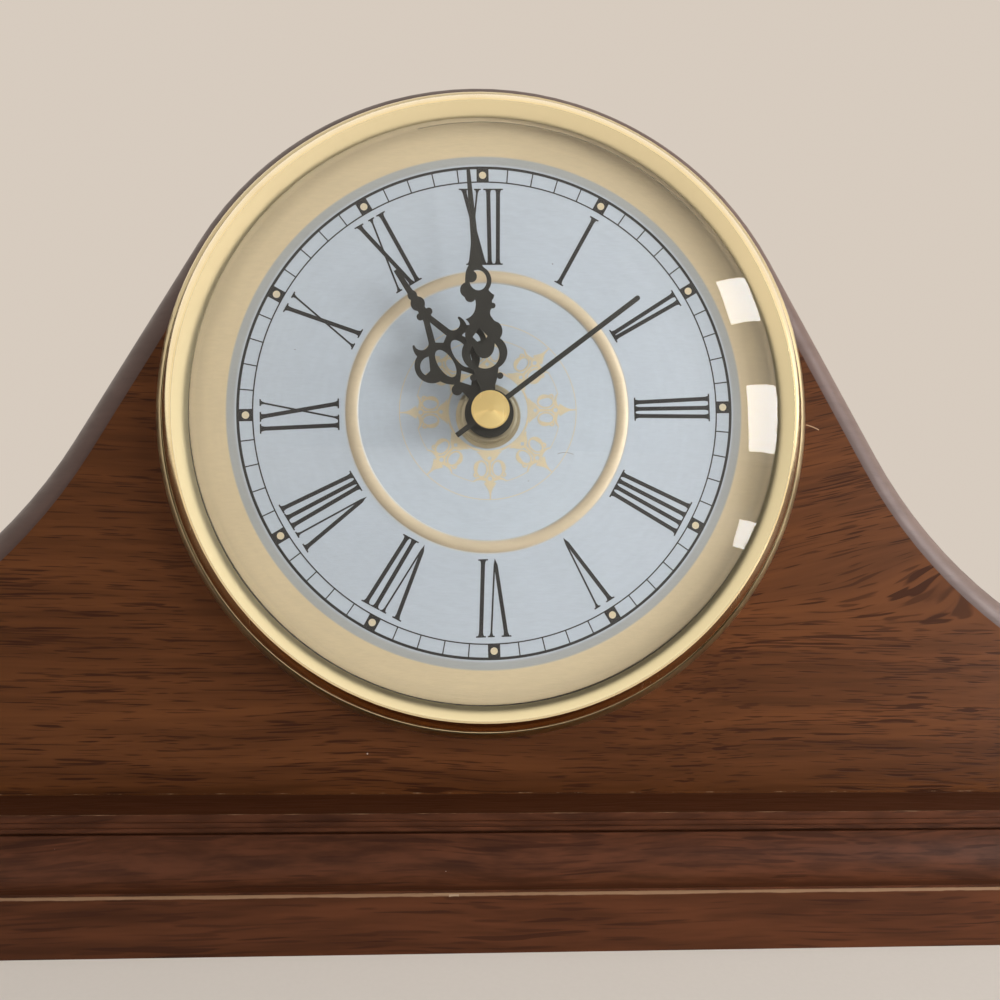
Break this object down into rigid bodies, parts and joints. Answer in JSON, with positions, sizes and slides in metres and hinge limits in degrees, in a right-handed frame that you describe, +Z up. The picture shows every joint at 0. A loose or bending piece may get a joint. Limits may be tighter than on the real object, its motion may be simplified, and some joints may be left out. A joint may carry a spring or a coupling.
{
  "type": "mantel clock",
  "caption": "Wooden mantel clock with a round-arched, hollow-shouldered case on a moulded plinth, a glazed brass bezel, a Roman dial, pierced hands and a quartz movement.",
  "frame": {"origin": "middle of the base board's underside, on the surface it stands on", "axes": "+X to the clock's right as a viewer faces the dial, +Y to the back, +Z up; the dial faces -Y"},
  "size_m": [0.4062, 0.082, 0.1947],
  "materials": {
    "base_wood": "satin",
    "plinth_wood": "satin",
    "edge_wood": "satin",
    "veneer": "satin",
    "back_wood": "matte",
    "block_wood": "matte",
    "screw_steel": "satin",
    "bezel_brass": "polished",
    "lens_glass": "polished",
    "spacer_black": "matte",
    "dial_metal": "satin",
    "pan_steel": "satin",
    "clip_steel": "satin",
    "cushion_rubber": "matte",
    "movement_plastic": "matte",
    "nut_brass": "polished",
    "wheel_plastic": "satin",
    "arbor_brass": "satin",
    "arbor_steel": "polished",
    "hand_black": "satin",
    "magnet_ferrite": "matte",
    "coil_copper": "satin",
    "circuit_green": "satin",
    "chip_black": "satin",
    "can_steel": "polished",
    "battery_jacket": "gloss",
    "contact_metal": "satin"
  },
  "bodies": {
    "case": {"base_board": "base_wood", "plinth_board": "plinth_wood", "front_board": "edge_wood", "front_veneer": "veneer", "top_wrap": "edge_wood", "back_board": "back_wood", "glue_blocks": "block_wood", "base_screws": "screw_steel", "back_screws": "screw_steel", "bezel": "bezel_brass", "lens": "lens_glass", "spacer_ring": "spacer_black", "dial_plate": "dial_metal", "back_pan": "pan_steel", "insert_clips": "clip_steel", "clip_screws": "screw_steel", "cushion_washer": "cushion_rubber", "movement_front": "movement_plastic", "movement_back": "movement_plastic", "fixing_washer": "nut_brass", "fixing_nut": "nut_brass", "middle_plate": "wheel_plastic", "stator_plate": "arbor_steel", "coil_core": "arbor_steel", "coil_bobbin": "wheel_plastic", "coil_winding": "coil_copper", "circuit_board": "circuit_green", "chip_blob": "chip_black", "crystal_can": "can_steel", "battery": "battery_jacket", "contact_plus": "contact_metal", "contact_minus": "contact_metal"},
    "seconds": {"second_wheel": "wheel_plastic", "second_arbor": "arbor_steel", "second_hand": "hand_black", "second_cap": "nut_brass"},
    "rotor": {"rotor_pinion": "wheel_plastic", "rotor_magnet": "magnet_ferrite"},
    "intermediate": {"intermediate_wheel": "wheel_plastic"},
    "third": {"third_wheel": "wheel_plastic"},
    "centre": {"centre_wheel": "wheel_plastic"},
    "minutes": {"minute_arbor": "arbor_brass", "minute_hand": "hand_black"},
    "setting": {"reversing_wheel": "wheel_plastic", "setting_knob": "movement_plastic"},
    "hours": {"hour_wheel": "wheel_plastic", "hour_hand": "hand_black"}
  },
  "joints": [
    {"name": "second_spin", "type": "hinge", "parent": "case", "child": "seconds", "pos_m": [0, 0, 0.113], "axis": [0, 1, 0], "continuous": true},
    {"name": "intermediate_spin", "type": "hinge", "parent": "case", "child": "intermediate", "pos_m": [0, 0, 0.11965], "axis": [0, 1, 0], "continuous": true},
    {"name": "rotor_spin", "type": "hinge", "parent": "case", "child": "rotor", "pos_m": [0, 0, 0.12649], "axis": [0, 1, 0], "continuous": true},
    {"name": "third_spin", "type": "hinge", "parent": "case", "child": "third", "pos_m": [-0.00666, 0, 0.113], "axis": [0, 1, 0], "continuous": true},
    {"name": "centre_spin", "type": "hinge", "parent": "case", "child": "centre", "pos_m": [0, 0, 0.113], "axis": [0, 1, 0], "continuous": true},
    {"name": "minute_spin", "type": "hinge", "parent": "case", "child": "minutes", "pos_m": [0, 0, 0.113], "axis": [0, 1, 0], "continuous": true},
    {"name": "setting_spin", "type": "hinge", "parent": "case", "child": "setting", "pos_m": [0.0084, 0, 0.113], "axis": [0, 1, 0], "continuous": true},
    {"name": "hour_spin", "type": "hinge", "parent": "case", "child": "hours", "pos_m": [0, 0, 0.113], "axis": [0, 1, 0], "continuous": true}
  ],
  "couplings": [
    {"joint": "intermediate_spin", "follows": "second_spin", "ratio": -6},
    {"joint": "rotor_spin", "follows": "second_spin", "ratio": 30},
    {"joint": "third_spin", "follows": "second_spin", "ratio": -0.13333},
    {"joint": "centre_spin", "follows": "second_spin", "ratio": 0.016667},
    {"joint": "setting_spin", "follows": "minute_spin", "ratio": -0.33333},
    {"joint": "hour_spin", "follows": "minute_spin", "ratio": 0.083333}
  ]
}
